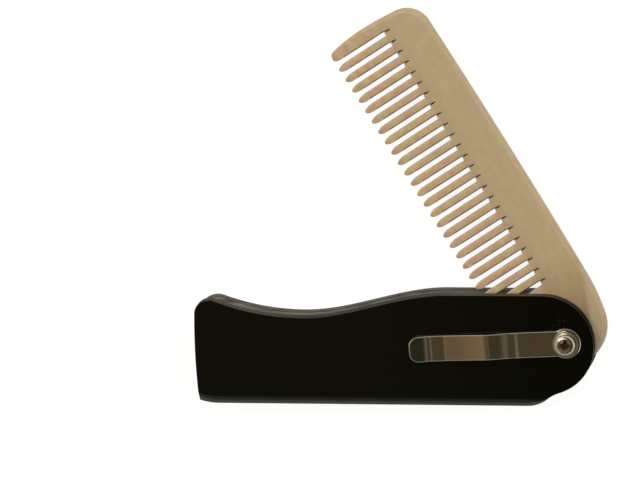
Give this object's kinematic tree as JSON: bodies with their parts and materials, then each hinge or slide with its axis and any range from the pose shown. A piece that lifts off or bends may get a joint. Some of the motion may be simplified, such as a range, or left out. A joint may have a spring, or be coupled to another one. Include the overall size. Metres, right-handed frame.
{
  "type": "folding comb",
  "caption": "Folding pocket comb: a toothed horn blade turns on a pivot screw out of a slotted dark horn case with a spring pocket clip.",
  "frame": {"origin": "on the pivot axis, in the plane of the rear face that the case rests on", "axes": "+Z along the pivot out of the clip side, +X along the spine towards the round pivot end, +Y towards the mouth that the comb folds into"},
  "size_m": [0.1132, 0.1099, 0.0133],
  "materials": {
    "case_horn": "polished black horn",
    "comb_horn": "polished translucent tan horn",
    "clip_steel": "polished spring steel",
    "screw_steel": "bright plated steel",
    "barrel_brass": "turned brass",
    "washer_brass": "thin brass shim"
  },
  "bodies": {
    "case": {"rear_scale": "case_horn", "front_scale": "case_horn", "spine_spacer": "case_horn", "pivot_barrel": "barrel_brass", "rear_pivot_washer": "washer_brass", "front_pivot_washer": "washer_brass", "pocket_clip": "clip_steel", "head_washer": "screw_steel", "pivot_screw": "screw_steel"},
    "comb": {"comb": "comb_horn"}
  },
  "joints": [
    {"name": "comb_fold", "type": "hinge", "parent": "case", "child": "comb", "pos_m": [0, 0, 0.005], "axis": [0, 0, -1], "range_deg": [-59.4, 120.6]}
  ]
}
